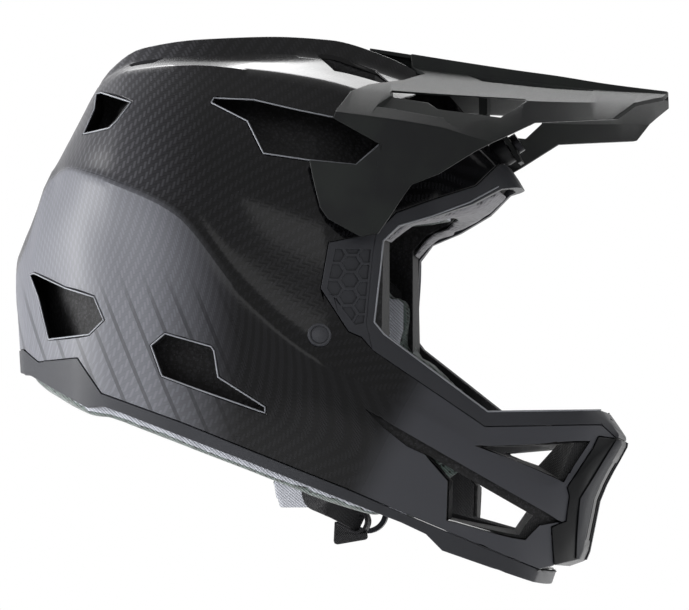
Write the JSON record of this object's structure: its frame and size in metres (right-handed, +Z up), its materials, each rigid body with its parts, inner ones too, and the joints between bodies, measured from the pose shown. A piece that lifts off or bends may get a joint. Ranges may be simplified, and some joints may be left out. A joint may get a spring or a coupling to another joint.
{
  "type": "full face bicycle helmet",
  "caption": "Full face downhill bike helmet: woven carbon shell with chin bar, foam liners, removable pads, ring-buckled strap and a tilting folded peak.",
  "frame": {"origin": "the middle of the wearer's head, on the helmet's mid-plane, where the head mount is", "axes": "+X forward, out of the eyeport; +Y to the wearer's left; +Z up"},
  "size_m": [0.3819, 0.245, 0.3291],
  "materials": {
    "carbon_shell": "gloss and satin clear coat over woven carbon fibre",
    "foam": "expanded black bead foam, matte",
    "soft_foam": "dense black foam, matte",
    "rubber": "soft black rubber, matte",
    "peak_plastic": "fine-grained black moulding",
    "grille_plastic": "satin black moulding",
    "mesh_fabric": "light grey knitted spacer mesh",
    "lining_fabric": "black woven lining",
    "webbing": "black woven webbing",
    "snap_plastic": "black snap fastener",
    "dark_metal": "black anodised",
    "steel": "bare steel"
  },
  "bodies": {
    "helmet": {"shell": "carbon_shell", "liner_crown": "foam", "liner_chin_bar": "foam", "chin_lining": "lining_fabric", "eyeport_trim": "rubber", "temple_panel_right": "rubber", "temple_panel_left": "rubber", "base_trim": "rubber", "mouth_vent_cover": "grille_plastic", "crown_pad": "mesh_fabric", "forehead_pad": "mesh_fabric", "brow_pad": "mesh_fabric", "neck_roll": "mesh_fabric", "cheek_core_right": "soft_foam", "cheek_core_left": "soft_foam", "cheek_pad_snaps": "snap_plastic", "chin_strap_right": "webbing", "chin_strap_left": "webbing", "chin_strap_fold": "webbing", "chin_strap_tab": "webbing", "strap_pad_right": "mesh_fabric", "strap_pad_left": "mesh_fabric", "strap_rivets": "steel", "strap_rivet_caps": "grille_plastic", "peak_adjuster_boss": "grille_plastic", "peak_adjuster_screw": "dark_metal", "peak_adjuster_nut": "dark_metal", "peak_pivot_studs": "dark_metal"},
    "peak": {"peak": "peak_plastic", "peak_tongue": "peak_plastic"},
    "d_ring_inner": {"d_ring_inner": "steel"},
    "d_ring_outer": {"d_ring_outer": "steel"},
    "cheek_pad_right": {"cheek_pad_right": "mesh_fabric"},
    "cheek_pad_left": {"cheek_pad_left": "mesh_fabric"}
  },
  "joints": [
    {"name": "peak_tilt", "type": "hinge", "parent": "helmet", "child": "peak", "pos_m": [0.0553, 0, 0.0012], "axis": [0, -1, 0], "range_deg": [-8, 0]},
    {"name": "ring_inner_swing", "type": "hinge", "parent": "helmet", "child": "d_ring_inner", "pos_m": [0.04356, 0.02136, -0.16269], "axis": [1, 0, 0], "range_deg": [-60, 0]},
    {"name": "ring_outer_swing", "type": "hinge", "parent": "helmet", "child": "d_ring_outer", "pos_m": [0.04356, 0.02516, -0.16269], "axis": [1, 0, 0], "range_deg": [0, 50]},
    {"name": "cheek_pad_right_pull", "type": "slide", "parent": "helmet", "child": "cheek_pad_right", "axis": [0, 1, 0], "range_m": [0, 0.02]},
    {"name": "cheek_pad_left_pull", "type": "slide", "parent": "helmet", "child": "cheek_pad_left", "axis": [0, -1, 0], "range_m": [0, 0.02]}
  ]
}
